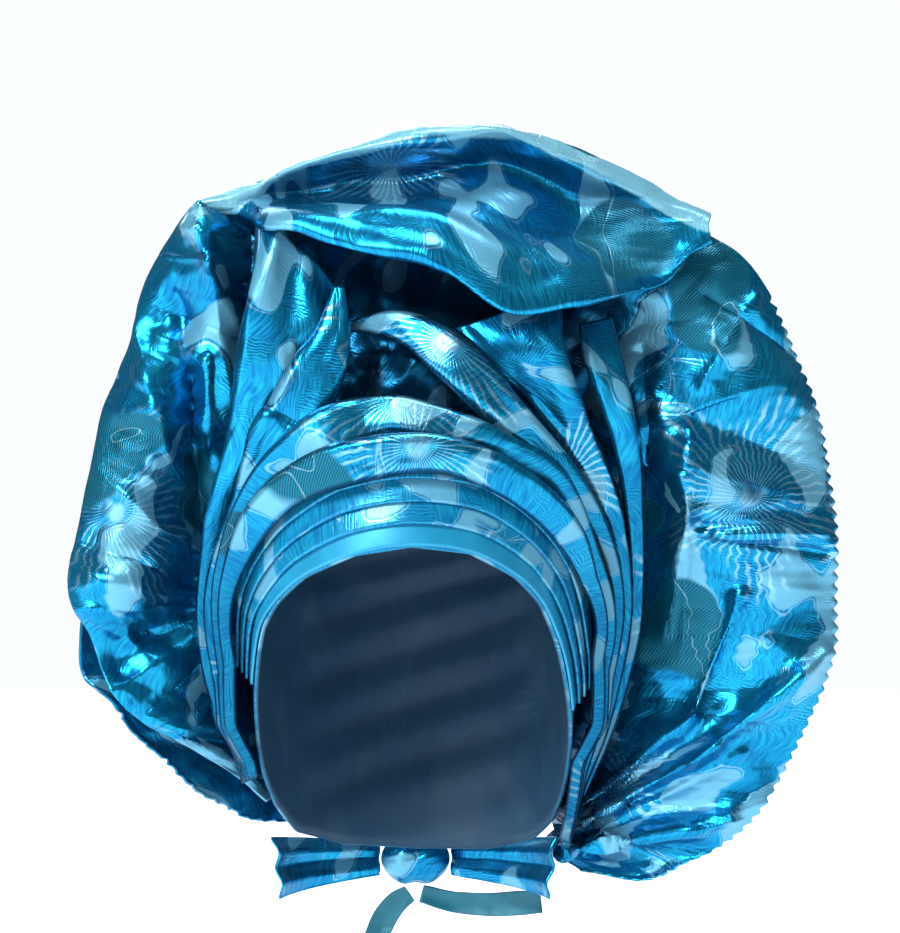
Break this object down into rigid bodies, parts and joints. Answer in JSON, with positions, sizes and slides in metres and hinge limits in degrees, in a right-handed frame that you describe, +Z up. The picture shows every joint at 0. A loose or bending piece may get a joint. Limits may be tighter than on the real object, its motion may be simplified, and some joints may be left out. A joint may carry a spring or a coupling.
{
  "type": "tied gele head tie",
  "caption": "Stiff brocade cloth tied as a head wrap: flat pleats over the brow, gathered temples and a tall pleated fan round the face, knotted at the nape.",
  "frame": {"origin": "middle of the wearer's head at the brow line, where the wrap sits", "axes": "+Z up along the head, -Y the way the wearer looks, +X on the right of a picture taken from the front"},
  "size_m": [0.3624, 0.2012, 0.3978],
  "materials": {
    "brocade": "crisp metallic brocade with a sheen",
    "plain_ground": "plain satin ground"
  },
  "bodies": {
    "root": {"head_wrap": "plain_ground", "brow_pleat_1": "plain_ground", "brow_pleat_2": "brocade", "brow_pleat_3": "brocade", "brow_pleat_4": "brocade", "brow_roll": "brocade", "crown_roll": "brocade", "left_rise": "brocade", "left_panel": "brocade", "arch_fold": "brocade", "right_rise": "brocade", "right_roll": "brocade", "crown_floor": "brocade", "top_fold": "brocade", "left_wing": "brocade", "right_wing": "brocade", "back_layer": "brocade", "tie_end_left": "brocade", "tie_end_right": "brocade", "nape_knot": "brocade", "tail_left": "brocade", "tail_right": "brocade"}
  },
  "joints": []
}
